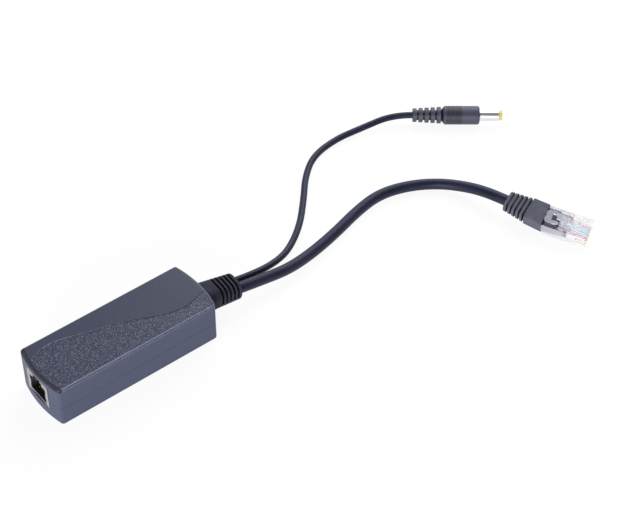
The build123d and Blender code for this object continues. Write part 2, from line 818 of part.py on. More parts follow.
bridge_depth = bridge_size[1] + 2 * bridge_reach
coupler_depth = coupler_size[1] + 2 * coupler_reach
diode_depth = diode_size[1] + 2 * diode_reach
disc_spot = (column_x[0], near_edge(disc_thickness))
lan_spot = (column_x[0], (disc_thickness - bridge_depth) / 2)
bridge_spots = [(column_x[0] + side * bridge_pitch / 2, far_edge(bridge_depth)) for side in (-1, 1)]
input_spot = (column_x[1], near_edge(2 * can_radius))
controller_spot = (column_x[1], (2 * can_radius - coupler_depth) / 2)
coupler_spot = (column_x[1], far_edge(coupler_depth))
flyback_spot = (column_x[2], 0.0)
output_spot = (column_x[3], near_edge(2 * can_radius))
inductor_spot = (column_x[3], (2 * can_radius - diode_depth) / 2)
diode_spot = (column_x[3], far_edge(diode_depth))

# Flyback transformer's inner sizes: the core's windows, the bobbin's tube and its flanges.
core_level = board_top + rail_height + bobbin_gap + core_leg / 2
window = core_size / 2 - core_leg / 2
tube_half = core_leg / 2 + bobbin_gap
flange_y = window - bobbin_gap
rail_row = (flange_y + core_size / 2) / 2


def lead_pair(spot, pitch):
    return [(spot[0] + side * pitch / 2, spot[1]) for side in (-1, 1)]


# Circuit board, drilled for the shell pins, the jack, the leads' wires and the tall components.
wire_pads = [(wire_pad_x, wire_pad_first + i * wire_pad_pitch) for i in range(jack_pins)]
dc_wire_pads = [(wire_pad_x, y) for y in dc_pads]
bobbin_pins = [
    (flyback_spot[0] + x * bobbin_pin_pitch, flyback_spot[1] + side * rail_row)
    for x in (-1, 0, 1) for side in (-1, 1)
]
drilled = lead_pair(disc_spot, disc_pitch) + bobbin_pins
for spot in (input_spot, output_spot, inductor_spot):
    drilled += lead_pair(spot, can_pitch)
with BuildPart() as circuit_board:
    with BuildSketch(Plane.XY.offset(board_bottom)):
        Rectangle(2 * board_half_x, 2 * board_half_y)
        with Locations(post_places):
            Circle(pin_radius + pin_gap, mode=Mode.SUBTRACT)
        with Locations((leg_x, leg_y), (leg_x, -leg_y)):
            RegularPolygon(leg_hole_radius, fine_sides, mode=Mode.SUBTRACT)
        with Locations([(tail_rows[i % 2], y) for i, y in enumerate(pin_places)] + drilled):
            RegularPolygon(tail_hole_radius, fine_sides, mode=Mode.SUBTRACT)
        with Locations(wire_pads):
            RegularPolygon(wire_diameter / 2 + pin_gap, fine_sides, mode=Mode.SUBTRACT)
        with Locations(dc_wire_pads):
            RegularPolygon(dc_wire_diameter / 2 + pin_gap, fine_sides, mode=Mode.SUBTRACT)
    extrude(amount=board_thickness)
finish(circuit_board, "circuit_board")


def wire_from(start, pad, diameter):
    """One wire: level from the stripped end of a lead, then down through its hole in the board."""
    with BuildPart() as wire:
        with BuildLine() as line:
            Polyline(
                (jacket_start, start[0], start[1]), (jacket_start - 1.0, start[0], start[1]),
                (pad[0], pad[1], start[1]), (pad[0], pad[1], board_bottom - lead_stub),
            )
        with BuildSketch(Plane(origin=line.line @ 0, z_dir=line.line % 0)):
            RegularPolygon(diameter / 2, fine_sides)
        sweep(path=line.line, transition=Transition.RIGHT)
    return wire.part


# Wires of the leads, from their stripped ends to the board.
network_starts = [
    (network_knee.Y - (3 - i // 2 * 2) * 0.5, network_knee.Z + (0.95 if i % 2 else -0.95))
    for i in range(jack_pins)
]
network_wire_parts = [
    wire_from(start, pad, wire_diameter) for start, pad in zip(network_starts, wire_pads)
]
with BuildPart() as network_wires:
    for wire in network_wire_parts:
        add(wire)
finish(network_wires, "network_wires")

dc_wire_parts = [
    wire_from((dc_knee.Y + side * dc_wire_spacing / 2, dc_knee.Z), pad, dc_wire_diameter)
    for side, pad in zip((-1, 1), dc_wire_pads)
]
with BuildPart() as dc_wires:
    for wire in dc_wire_parts:
        add(wire)
finish(dc_wires, "dc_wires")


def leaded_block(size, leads, pitch, lead_size, reach):
    """A surface-mounted component: a block with one row of bent leads along each long side."""
    length, width, height = size
    with BuildPart() as block:
        with BuildSketch(Plane.XY.offset(chip_stand)):
            Rectangle(length, width)
        extrude(amount=height - chip_stand)
        chamfer(block.faces().sort_by(Axis.Z)[-1].edges(), chip_stand)
        with BuildSketch():
            with GridLocations(pitch, 1, leads, 1):
                Rectangle(lead_size, width + 2 * reach)
            Rectangle(length, width, mode=Mode.SUBTRACT)
        extrude(amount=0.2)
        with BuildSketch():
            with GridLocations(pitch, 1, leads, 1):
                Rectangle(lead_size, width + 0.8)
            Rectangle(length, width, mode=Mode.SUBTRACT)
        extrude(amount=height / 2)
    return block.part


lan_block = leaded_block(lan_size, 8, 1.27, 0.5, lan_reach)
with BuildPart() as lan_transformer:
    with Locations((*lan_spot, board_top)):
        add(lan_block)
finish(lan_transformer, "lan_transformer")

bridge_block = leaded_block(bridge_size, 2, 2.5, 0.9, bridge_reach)
with BuildPart() as bridge_rectifiers:
    with Locations([(*spot, board_top) for spot in bridge_spots]):
        add(bridge_block)
finish(bridge_rectifiers, "bridge_rectifiers")

controller_block = leaded_block(controller_size, 4, 1.27, 0.45, controller_reach)
with BuildPart() as controller_chip:
    with Locations((*controller_spot, board_top)):
        add(controller_block)
finish(controller_chip, "controller_chip")

coupler_block = leaded_block(coupler_size, 2, 2.54, 0.7, coupler_reach)
with BuildPart() as optocoupler:
    with Locations((*coupler_spot, board_top)):
        add(coupler_block)
finish(optocoupler, "optocoupler")

diode_block = leaded_block(diode_size, 1, 1.0, 2.0, diode_reach)
with BuildPart() as output_diode:
    with Locations((*diode_spot, board_top)):
        add(diode_block)
finish(output_diode, "output_diode")


def capacitor_can(spot):
    """An electrolytic capacitor standing on the board: a can with a rolled groove, and two leads."""
    with BuildPart() as can:
        with BuildSketch(Plane.XY.offset(board_top)):
            with Locations(spot):
                Circle(can_radius)
        extrude(amount=can_height)
        chamfer(can.faces().sort_by(Axis.Z)[-1].edges(), can_edge)
        with BuildSketch(Plane.XY.offset(board_top + can_groove)):
            with Locations(spot):
                Circle(can_radius)
                Circle(can_radius - can_edge, mode=Mode.SUBTRACT)
        extrude(amount=can_edge, mode=Mode.SUBTRACT)
        with BuildSketch(Plane.XY.offset(board_top)):
            with Locations(lead_pair(spot, can_pitch)):
                RegularPolygon(lead_radius, fine_sides)
        extrude(amount=-board_thickness - lead_stub)
    return can.part


input_can = capacitor_can(input_spot)
with BuildPart() as input_capacitor:
    add(input_can)
finish(input_capacitor, "input_capacitor")

output_can = capacitor_can(output_spot)
with BuildPart() as output_capacitor:
    add(output_can)
finish(output_capacitor, "output_capacitor")

# Disc capacitor between the two grounds, standing on edge on its two leads.
with BuildPart() as safety_capacitor:
    with BuildSketch(Plane.XZ.offset(-disc_spot[1])):
        with Locations((disc_spot[0], board_top + disc_stand + disc_radius)):
            Circle(disc_radius)
    extrude(amount=disc_thickness / 2, both=True)
    chamfer(safety_capacitor.edges(), disc_edge)
    with BuildSketch(Plane.XY.offset(board_bottom - lead_stub)):
        with Locations(lead_pair(disc_spot, disc_pitch)):
            RegularPolygon(lead_radius, fine_sides)
    extrude(amount=board_thickness + lead_stub + disc_stand + disc_radius)
finish(safety_capacitor, "safety_capacitor")

# Drum inductor of the output filter: a spool whose waist holds the turns.
with BuildPart() as output_inductor:
    with BuildSketch(Plane.XY.offset(board_top)):
        with Locations(inductor_spot):
            Circle(drum_radius)
    extrude(amount=drum_flange)
    with BuildSketch(Plane.XY.offset(board_top + drum_flange)):
        with Locations(inductor_spot):
            Circle(drum_radius - drum_flange / 2)
    extrude(amount=drum_height - 2 * drum_flange)
    with BuildSketch(Plane.XY.offset(board_top + drum_height - drum_flange)):
        with Locations(inductor_spot):
            Circle(drum_radius)
    extrude(amount=drum_flange)
    with BuildSketch(Plane.XY.offset(board_top)):
        with Locations(lead_pair(inductor_spot, can_pitch)):
            RegularPolygon(lead_radius, fine_sides)
    extrude(amount=-board_thickness - lead_stub)
finish(output_inductor, "output_inductor")

# Flyback transformer: a figure-of-eight ferrite core, a flanged bobbin on its middle leg with a
# pin rail under each end, and the winding between the flanges.
with BuildPart() as flyback_core:
    with BuildSketch(Plane.XY.offset(core_level - core_leg / 2)):
        with Locations(flyback_spot):
            Rectangle(core_size, core_size)
            Rectangle(2 * window, 2 * window, mode=Mode.SUBTRACT)
            Rectangle(core_leg, core_size)
    extrude(amount=core_leg)
finish(flyback_core, "flyback_core")

with BuildPart() as flyback_bobbin:
    with BuildSketch(Plane.XZ.offset(-flyback_spot[1] - flange_y)):
        with Locations((flyback_spot[0], core_level)):
            Rectangle(2 * flange_y, 2 * flange_height)
    extrude(amount=2 * flange_y)
    with BuildSketch(Plane.XZ.offset(-flyback_spot[1] - flange_y + bobbin_wall)):
        with Locations((flyback_spot[0], core_level)):
            Rectangle(2 * core_size, 2 * core_size)
            Rectangle(2 * (tube_half + bobbin_wall), 2 * (tube_half + bobbin_wall), mode=Mode.SUBTRACT)
    extrude(amount=2 * (flange_y - bobbin_wall), mode=Mode.SUBTRACT)
    with BuildSketch(Plane.XZ.offset(-flyback_spot[1] - flange_y)):
        with Locations((flyback_spot[0], core_level)):
            Rectangle(2 * tube_half, 2 * tube_half)
    extrude(amount=2 * flange_y, mode=Mode.SUBTRACT)
    for side in (-1, 1):
        with BuildSketch(Plane.XY.offset(board_top)):
            with Locations((flyback_spot[0], flyback_spot[1] + side * rail_row)):
                Rectangle(2 * flange_y, core_size / 2 - flange_y + 2 * bobbin_wall)
        extrude(amount=rail_height)
    with BuildSketch(Plane.XY.offset(board_top)):
        with Locations(bobbin_pins):
            RegularPolygon(lead_radius, fine_sides)
    extrude(amount=-board_thickness - lead_stub)
finish(flyback_bobbin, "flyback_bobbin")

with BuildPart() as flyback_winding:
    with BuildSketch(Plane.XZ.offset(-flyback_spot[1] - flange_y + bobbin_wall)):
        with Locations((flyback_spot[0], core_level)):
            RectangleRounded(
                2 * flange_y - bobbin_wall, 2 * flange_height - bobbin_wall, winding_round
            )
            Rectangle(2 * (tube_half + bobbin_wall), 2 * (tube_half + bobbin_wall), mode=Mode.SUBTRACT)
    extrude(amount=2 * (flange_y - bobbin_wall))
finish(flyback_winding, "flyback_winding")

# Chip resistors and capacitors on the underside of the board, below the chips.
with BuildPart() as chip_passives:
    with BuildSketch(Plane.XY.offset(board_bottom)):
        with Locations(lan_spot, controller_spot):
            with GridLocations(*passive_pitch, 2, 4):
                Rectangle(*passive_size[:2])
    extrude(amount=-passive_size[2])
finish(chip_passives, "chip_passives")
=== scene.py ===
from math import cos, radians, sin

import bmesh
import bpy
from mathutils import Matrix, Vector


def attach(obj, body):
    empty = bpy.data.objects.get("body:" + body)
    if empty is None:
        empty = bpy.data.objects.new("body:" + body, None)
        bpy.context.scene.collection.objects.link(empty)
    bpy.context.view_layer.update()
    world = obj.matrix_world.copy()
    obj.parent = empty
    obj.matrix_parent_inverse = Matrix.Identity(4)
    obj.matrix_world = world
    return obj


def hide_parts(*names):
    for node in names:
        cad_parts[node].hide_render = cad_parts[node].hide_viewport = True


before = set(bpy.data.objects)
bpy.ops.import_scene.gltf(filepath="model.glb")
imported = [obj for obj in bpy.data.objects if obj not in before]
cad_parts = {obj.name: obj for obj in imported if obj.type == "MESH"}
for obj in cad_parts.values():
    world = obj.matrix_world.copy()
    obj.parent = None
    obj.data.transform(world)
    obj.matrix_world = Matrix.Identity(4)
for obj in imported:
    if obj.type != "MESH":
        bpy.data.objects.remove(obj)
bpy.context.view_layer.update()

# Camera
# A long lens looks down at 45 degrees over the housing's front near corner, from about 0.8 m away,
# so that the housing lies lower left and both leads run off to the right.
camera = bpy.data.objects.new("camera", bpy.data.cameras.new("camera"))
bpy.context.collection.objects.link(camera)
yaw, pitch, roll = radians(38.487), radians(45.222), radians(0.154)
aim = Vector((0.09957, -0.00423, 0.0))
distance = 0.79696
ahead = Vector((sin(yaw) * cos(pitch), cos(yaw) * cos(pitch), -sin(pitch)))
level = Vector((cos(yaw), -sin(yaw), 0))
above = level.cross(ahead)
across = level * cos(roll) + above * sin(roll)
camera.matrix_world = (
    Matrix.Translation(aim - ahead * distance)
    @ Matrix((across, across.cross(ahead), -ahead)).transposed().to_4x4()
)
camera.data.sensor_fit = "HORIZONTAL"
camera.data.sensor_width = 36.0
camera.data.lens = 101.59
camera.data.clip_start = 0.01
bpy.context.scene.camera = camera
bpy.context.scene.view_settings.view_transform = "Standard"

# Leads
# Two round jackets of extruded PVC, the thick one for the four network pairs and the thin one for
# the DC pair. They leave the relief side by side, sink to the table and sweep apart.
MM = 0.001
network_points = [
    (60.582, -3.087, 8.718), (74.420, -3.934, 6.769), (88.5, -4.5, 5.0), (104.5, -1.5, 3.2),
    (121.0, 2.5, 2.7), (138.0, 7.5, 2.7), (153.5, 10.0, 2.7), (168.5, 6.0, 2.7), (181.0, -2.0, 2.8),
    (188.5, -13.5, 4.6), (191.4, -25.8, 7.8), (194.6, -34.7, 7.3),
]
dc_points = [
    (60.887, 1.903, 8.718), (73.242, 1.148, 6.978), (86.0, 3.0, 4.4), (97.5, 7.6, 2.1),
    (111.3, 17.2, 1.7), (123.6, 29.9, 1.7), (134.5, 42.4, 1.7), (146.8, 51.6, 1.7),
    (163.2, 54.5, 1.7), (178.0, 52.2, 2.6), (194.5, 48.5, 4.7), (202.3, 42.3, 4.7),
]
network_diameter = 5.3 * MM
dc_diameter = 3.2 * MM


def linear(code):
    """An sRGB hex colour as linear RGBA."""
    parts = [int(code[i:i + 2], 16) / 255 for i in (1, 3, 5)]
    return [p / 12.92 if p <= 0.04045 else ((p + 0.055) / 1.055) ** 2.4 for p in parts] + [1.0]


def add_node(tree, kind, inputs=None, **settings):
    """Adds a node with its settings, and sets or links its inputs by name or number."""
    made = tree.nodes.new(kind)
    for name, value in settings.items():
        setattr(made, name, value)
    for name, value in (inputs or {}).items():
        if isinstance(value, bpy.types.NodeSocket):
            tree.links.new(value, made.inputs[name])
        else:
            made.inputs[name].default_value = value
    return made


def new_finish(name, **values):
    """A material with only its shader, whose plain values are set on the shader's sockets."""
    material = bpy.data.materials.new(name)
    material.use_nodes = True
    shader = material.node_tree.nodes["Principled BSDF"]
    for socket, value in values.items():
        shader.inputs[socket.replace("_", " ")].default_value = value
    return material, material.node_tree, shader


def dress(node, material):
    """Puts a material on a solid that keeps its shape."""
    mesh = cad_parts[node].data
    mesh.materials.clear()
    mesh.materials.append(material)


# Plasticised PVC, extruded: a bluish charcoal, with a soft bluish band of light along its top.
jacket_pvc, tree, shader = new_finish(
    "extruded_pvc_jacket", Roughness=0.5, IOR=1.53, Specular_Tint=linear("#B4BCE8"),
)
place = add_node(tree, "ShaderNodeTexCoord")
mottle = add_node(
    tree, "ShaderNodeTexNoise", {"Vector": place.outputs["Object"], "Scale": 90.0, "Detail": 3.0}
)
tone = add_node(tree, "ShaderNodeValToRGB", {"Fac": mottle.outputs["Fac"]})
tone.color_ramp.elements[0].position = 0.3
tone.color_ramp.elements[0].color = linear("#191B29")
tone.color_ramp.elements[1].position = 0.7
tone.color_ramp.elements[1].color = linear("#242637")
tree.links.new(tone.outputs["Color"], shader.inputs["Base Color"])
skin = add_node(
    tree, "ShaderNodeTexNoise", {"Vector": place.outputs["Object"], "Scale": 1400.0, "Detail": 2.0}
)
raised = add_node(
    tree, "ShaderNodeBump", {"Height": skin.outputs["Fac"], "Strength": 0.12, "Distance": 0.0001}
)
tree.links.new(raised.outputs["Normal"], shader.inputs["Normal"])


def lay_lead(name, points, diameter):
    """One lead along its route, as a round tube on a smooth line."""
    line = bpy.data.curves.new(name, "CURVE")
    line.dimensions = "3D"
    line.bevel_depth = diameter / 2
    line.bevel_resolution = 8
    line.resolution_u = 16
    line.use_fill_caps = True
    spline = line.splines.new("NURBS")
    spline.points.add(len(points) - 1)
    for point, (x, y, z) in zip(spline.points, points):
        point.co = (x * MM, y * MM, z * MM, 1.0)
    spline.order_u = 3
    spline.use_endpoint_u = True
    lead = bpy.data.objects.new(name, line)
    bpy.context.collection.objects.link(lead)
    line.materials.append(jacket_pvc)
    return lead


network_lead = lay_lead("network_lead", network_points, network_diameter)
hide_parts("network_cord")
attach(network_lead, "root")

dc_lead = lay_lead("dc_lead", dc_points, dc_diameter)
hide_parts("dc_cord")
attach(dc_lead, "root")

for node in ("network_cord_tail", "dc_cord_tail", "network_cord_plug_end", "dc_cord_plug_end"):
    dress(node, jacket_pvc)

# Housing
# Two shells of injection-moulded ABS, coloured through in a bluish charcoal and closed at a seam
# half way up. The mould was spark-eroded on the near side of the S line and polished on the far
# one.
abs_plastic, tree, shader = new_finish(
    "moulded_abs", Roughness=0.48, IOR=1.54, Specular_IOR_Level=0.35,
)
place = add_node(tree, "ShaderNodeTexCoord")
axes = add_node(tree, "ShaderNodeSeparateXYZ", {"Vector": place.outputs["Object"]})
# The eroded side lies a quarter of a millimetre lower, down over the near edge.
eroded_foot, eroded_top, eroded_far = 20.05 * MM, 21.88 * MM, 12.0 * MM
below = add_node(
    tree, "ShaderNodeMath", {0: axes.outputs["Z"], 1: eroded_top}, operation="LESS_THAN"
)
over = add_node(
    tree, "ShaderNodeMath", {0: axes.outputs["Z"], 1: eroded_foot}, operation="GREATER_THAN"
)
near = add_node(
    tree, "ShaderNodeMath", {0: axes.outputs["Y"], 1: eroded_far}, operation="LESS_THAN"
)
band = add_node(
    tree, "ShaderNodeMath", {0: below.outputs[0], 1: over.outputs[0]}, operation="MULTIPLY"
)
eroded = add_node(
    tree, "ShaderNodeMath", {0: band.outputs[0], 1: near.outputs[0]}, operation="MULTIPLY"
)
# The far side of the top keeps about a fifth of the grain.
far_grain = 0.22
faint = add_node(tree, "ShaderNodeMath", {0: over.outputs[0], 1: far_grain}, operation="MULTIPLY")
grained = add_node(
    tree, "ShaderNodeMath", {0: eroded.outputs[0], 1: faint.outputs[0]}, operation="MAXIMUM"
)
# Real grains are near 0.1 mm, too fine to show, so they are drawn at about 0.4 mm.
grain = add_node(
    tree, "ShaderNodeTexNoise",
    {"Vector": place.outputs["Object"], "Scale": 2500.0, "Detail": 0.5, "Roughness": 0.5},
)
raised = add_node(
    tree, "ShaderNodeBump",
    {"Height": grain.outputs["Fac"], "Strength": grained.outputs[0], "Distance": 0.0001},
)
tree.links.new(raised.outputs["Normal"], shader.inputs["Normal"])
specks = add_node(tree, "ShaderNodeValToRGB", {"Fac": grain.outputs["Fac"]})
specks.color_ramp.elements[0].position = 0.4
specks.color_ramp.elements[0].color = linear("#353850")
specks.color_ramp.elements[1].position = 0.7
specks.color_ramp.elements[1].color = linear("#84879F")
middle = specks.color_ramp.elements.new(0.54)
middle.color = linear("#40445B")
flow = add_node(
    tree, "ShaderNodeTexNoise", {"Vector": place.outputs["Object"], "Scale": 60.0, "Detail": 2.0}
)
plain = add_node(tree, "ShaderNodeValToRGB", {"Fac": flow.outputs["Fac"]})
plain.color_ramp.elements[0].color = linear("#3E435A")
plain.color_ramp.elements[1].color = linear("#444961")
both = add_node(
    tree, "ShaderNodeMix",
    {0: grained.outputs[0], 6: plain.outputs["Color"], 7: specks.outputs["Color"]},
    data_type="RGBA",
)
# Painted highlights: the high edges get a pale painted glint in their colour. On the step's wall,
# short of the far long edge, the painted glint is full at the front end and gone 14 mm past the
# middle.
wall_height, wall_half = 21.875 * MM, 0.115 * MM
glint_start, glint_end, wall_far = -42.0 * MM, 14.0 * MM, 12.9 * MM
wall = add_node(
    tree, "ShaderNodeMath", {0: axes.outputs["Z"], 1: wall_height, 2: wall_half},
    operation="COMPARE",
)
frontward = add_node(
    tree, "ShaderNodeMapRange",
    {
        "Value": axes.outputs["X"], "From Min": glint_start, "From Max": glint_end,
        "To Min": 1.0, "To Max": 0.0,
    },
)
inward = add_node(
    tree, "ShaderNodeMath", {0: axes.outputs["Y"], 1: wall_far}, operation="LESS_THAN"
)
wall_inward = add_node(
    tree, "ShaderNodeMath", {0: wall.outputs[0], 1: inward.outputs[0]}, operation="MULTIPLY"
)
wall_share = add_node(
    tree, "ShaderNodeMath", {0: wall_inward.outputs[0], 1: frontward.outputs[0]},
    operation="MULTIPLY",
)
# The two edges of the eroded band along the near side get the painted glint at half strength.
upper_height, upper_half = 21.5 * MM, 0.16 * MM
lower_height, lower_half = 20.1 * MM, 0.14 * MM
upper_edge = add_node(
    tree, "ShaderNodeMath", {0: axes.outputs["Z"], 1: upper_height, 2: upper_half},
    operation="COMPARE",
)
lower_edge = add_node(
    tree, "ShaderNodeMath", {0: axes.outputs["Z"], 1: lower_height, 2: lower_half},
    operation="COMPARE",
)
edges = add_node(
    tree, "ShaderNodeMath", {0: upper_edge.outputs[0], 1: lower_edge.outputs[0]},
    operation="MAXIMUM",
)
near_edges = add_node(
    tree, "ShaderNodeMath", {0: edges.outputs[0], 1: near.outputs[0]}, operation="MULTIPLY"
)
edge_share = add_node(
    tree, "ShaderNodeMath", {0: near_edges.outputs[0], 1: 0.5}, operation="MULTIPLY"
)
glint = add_node(
    tree, "ShaderNodeMath", {0: wall_share.outputs[0], 1: edge_share.outputs[0]},
    operation="MAXIMUM",
)
# The pale colour is a painted highlight, mixed in over the glinting edges.
painted_glints = add_node(
    tree, "ShaderNodeMix",
    {0: glint.outputs[0], 6: both.outputs[2], 7: linear("#A3A6BE")}, data_type="RGBA",
)
# The shells meet at a fine dark line.
seam_height, seam_half = 10.0 * MM, 0.13 * MM
seam = add_node(
    tree, "ShaderNodeMath", {0: axes.outputs["Z"], 1: seam_height, 2: seam_half},
    operation="COMPARE",
)
closed = add_node(
    tree, "ShaderNodeMix",
    {0: seam.outputs[0], 6: painted_glints.outputs[2], 7: linear("#1B1D29")}, data_type="RGBA",
)
# The rounded top edge of the front end is painted darker than the rest: a painted reflection of
# the dim room in its polished rounding. It follows the bow of the end, which falls back by 10.2
# times the square of the way from the middle, in metres: 2 mm at 14 mm.
rim_inner, bow = -40.4 * MM, 10.2
sideways = add_node(tree, "ShaderNodeMath", {0: axes.outputs["Y"], 1: 2.0}, operation="POWER")
bowed = add_node(
    tree, "ShaderNodeMath", {0: sideways.outputs[0], 1: -bow, 2: axes.outputs["X"]},
    operation="MULTIPLY_ADD",
)
front = add_node(
    tree, "ShaderNodeMath", {0: bowed.outputs[0], 1: rim_inner}, operation="LESS_THAN"
)
rim = add_node(
    tree, "ShaderNodeMath", {0: front.outputs[0], 1: over.outputs[0]}, operation="MULTIPLY"
)
rim_share = add_node(tree, "ShaderNodeMath", {0: rim.outputs[0], 1: 0.9}, operation="MULTIPLY")
# Painted reflection: the dark colour stands for the dim room mirrored in the front rounding.
rim_painted_dark = add_node(
    tree, "ShaderNodeMix",
    {0: rim_share.outputs[0], 6: closed.outputs[2], 7: linear("#1E202D")}, data_type="RGBA",
)
tree.links.new(rim_painted_dark.outputs[2], shader.inputs["Base Color"])
dress("upper_shell", abs_plastic)
dress("lower_shell", abs_plastic)

# Network jack
# A folded shield of tinned steel sheet round a black moulded insulator, with eight gold-plated
# spring wires that slant up from its floor and a sprung finger in each side of its mouth.
tinned_steel, tree, shader = new_finish("tinned_steel_sheet", Metallic=1.0, Roughness=0.28)
place = add_node(tree, "ShaderNodeTexCoord")
rolled = add_node(
    tree, "ShaderNodeMapping", {"Vector": place.outputs["Object"], "Scale": (400.0, 3500.0, 3500.0)}
)
streaks = add_node(
    tree, "ShaderNodeTexNoise", {"Vector": rolled.outputs["Vector"], "Scale": 1.0, "Detail": 2.0}
)
shade = add_node(tree, "ShaderNodeValToRGB", {"Fac": streaks.outputs["Fac"]})
shade.color_ramp.elements[0].color = linear("#8E8E97")
shade.color_ramp.elements[1].color = linear("#B9B9C2")
tree.links.new(shade.outputs["Color"], shader.inputs["Base Color"])
raised = add_node(
    tree, "ShaderNodeBump", {"Height": streaks.outputs["Fac"], "Strength": 0.1, "Distance": 0.00005}
)
tree.links.new(raised.outputs["Normal"], shader.inputs["Normal"])
dress("jack_shield", tinned_steel)

# Glass-filled nylon, moulded: black and slightly dull.
black_nylon, tree, shader = new_finish("moulded_nylon", Roughness=0.55, IOR=1.53)
place = add_node(tree, "ShaderNodeTexCoord")
mottle = add_node(
    tree, "ShaderNodeTexNoise", {"Vector": place.outputs["Object"], "Scale": 1500.0, "Detail": 3.0}
)
tone = add_node(tree, "ShaderNodeValToRGB", {"Fac": mottle.outputs["Fac"]})
tone.color_ramp.elements[0].color = linear("#0B0B0D")
tone.color_ramp.elements[1].color = linear("#17171A")
tree.links.new(tone.outputs["Color"], shader.inputs["Base Color"])
raised = add_node(
    tree, "ShaderNodeBump", {"Height": mottle.outputs["Fac"], "Strength": 0.2, "Distance": 0.00008}
)
tree.links.new(raised.outputs["Normal"], shader.inputs["Normal"])
dress("jack_insulator", black_nylon)

# Phosphor bronze with a gold flash: a dull brown in the shade of the jack.
gilt_bronze, tree, shader = new_finish("gilt_phosphor_bronze", Metallic=1.0, Roughness=0.45)
place = add_node(tree, "ShaderNodeTexCoord")
marks = add_node(tree, "ShaderNodeTexNoise", {"Vector": place.outputs["Object"], "Scale": 2500.0})
tone = add_node(tree, "ShaderNodeValToRGB", {"Fac": marks.outputs["Fac"]})
tone.color_ramp.elements[0].color = linear("#5E4A24")
tone.color_ramp.elements[1].color = linear("#7A6232")
tree.links.new(tone.outputs["Color"], shader.inputs["Base Color"])
dress("jack_contacts", gilt_bronze)

# Strain relief and boot
# Two soft PVC mouldings. The relief grips both leads in the rear wall and is slotted so that it
# flexes, and the boot has five ring grooves round the lead behind the modular plug.


def shade_grooves(tree, colour, shut, wide):
    """Darkens a colour where the surface faces itself, because a deep groove holds no light."""
    shade = add_node(
        tree, "ShaderNodeAmbientOcclusion", {"Distance": 1.6 * MM}, only_local=True, samples=12
    )
    open_share = add_node(
        tree, "ShaderNodeMapRange",
        {
            "Value": shade.outputs["AO"], "From Min": shut, "From Max": wide,
            "To Min": 0.0, "To Max": 1.0,
        },
    )
    shaded = add_node(
        tree, "ShaderNodeMix", {0: open_share.outputs[0], 6: linear("#040406"), 7: colour},
        data_type="RGBA",
    )
    return shaded.outputs[2]


# Soft PVC, moulded: matt and dark on the relief, greyer on the boot, with a fine dull skin.
for name, node, dark, pale in (
    ("moulded_pvc_dark", "strain_relief", "#262838", "#303243"),
    ("moulded_pvc_grey", "plug_boot", "#5A5C69", "#666877"),
):
    soft_pvc, tree, shader = new_finish(name, Roughness=0.75, IOR=1.53, Specular_IOR_Level=0.3)
    place = add_node(tree, "ShaderNodeTexCoord")
    mottle = add_node(
        tree, "ShaderNodeTexNoise",
        {"Vector": place.outputs["Object"], "Scale": 350.0, "Detail": 3.0},
    )
    tone = add_node(tree, "ShaderNodeValToRGB", {"Fac": mottle.outputs["Fac"]})
    tone.color_ramp.elements[0].position = 0.3
    tone.color_ramp.elements[0].color = linear(dark)
    tone.color_ramp.elements[1].position = 0.7
    tone.color_ramp.elements[1].color = linear(pale)
    shaded = shade_grooves(tree, tone.outputs["Color"], shut=0.55, wide=0.94)
    tree.links.new(shaded, shader.inputs["Base Color"])
    skin = add_node(
        tree, "ShaderNodeTexNoise",
        {"Vector": place.outputs["Object"], "Scale": 2200.0, "Detail": 3.0},
    )
    raised = add_node(
        tree, "ShaderNodeBump",
        {"Height": skin.outputs["Fac"], "Strength": 0.25, "Distance": 0.0001},
    )
    tree.links.new(raised.outputs["Normal"], shader.inputs["Normal"])
    dress(node, soft_pvc)

# Modular plug
# A clear polycarbonate body with its latch lever moulded on, over eight coloured wires that fan out
# from the jacket into one row under the contact blades.

# The plug's own axes as it lies, with its nose down a little and rolled to one side. They start
# at its rear face.
plug_roll, plug_length = radians(15.3), 21.9
plug_nose = Vector((0.211026, -0.072783, 0.004915))
plug_heading = Vector((0.437846, -0.898669, -0.026177))
plug_level = Vector((0, 0, 1)).cross(plug_heading).normalized()
plug_across = Matrix.Rotation(plug_roll, 3, plug_heading) @ plug_level
plug_up = plug_heading.cross(plug_across)
plug_rear = plug_nose - plug_heading * plug_length * MM

# Clear polycarbonate, moulded: see-through and glossy, with slight ripples.
clear_plastic, tree, shader = new_finish("clear_polycarbonate", Roughness=0.06, IOR=1.5)
place = add_node(tree, "ShaderNodeTexCoord")
ripple = add_node(
    tree, "ShaderNodeTexNoise", {"Vector": place.outputs["Object"], "Scale": 450.0, "Detail": 1.0}
)
tone = add_node(tree, "ShaderNodeValToRGB", {"Fac": ripple.outputs["Fac"]})
tone.color_ramp.elements[0].color = linear("#FAFAFD")
tone.color_ramp.elements[1].color = linear("#FFFFFF")
# Towards the rear the plastic is milky in the rim, in the lever's free end and down the near
# flank, and it clears up on the way to the nose.
milky_up = plug_rear.dot(plug_up) + 3.33 * MM
milky_aside = plug_rear.dot(plug_across) - 5.55 * MM
milky_end = plug_rear.dot(plug_heading) + 10.0 * MM
clear_start = plug_rear.dot(plug_heading) + 15.0 * MM
rise = add_node(
    tree, "ShaderNodeVectorMath", {0: place.outputs["Object"], 1: tuple(plug_up)},
    operation="DOT_PRODUCT",
)
high_up = add_node(
    tree, "ShaderNodeMath", {0: rise.outputs["Value"], 1: milky_up}, operation="GREATER_THAN"
)
run = add_node(
    tree, "ShaderNodeVectorMath", {0: place.outputs["Object"], 1: tuple(plug_heading)},
    operation="DOT_PRODUCT",
)
rearward = add_node(
    tree, "ShaderNodeMapRange",
    {
        "Value": run.outputs["Value"], "From Min": milky_end, "From Max": clear_start,
        "To Min": 1.0, "To Max": 0.1,
    },
)
aside = add_node(
    tree, "ShaderNodeVectorMath", {0: place.outputs["Object"], 1: tuple(plug_across)},
    operation="DOT_PRODUCT",
)
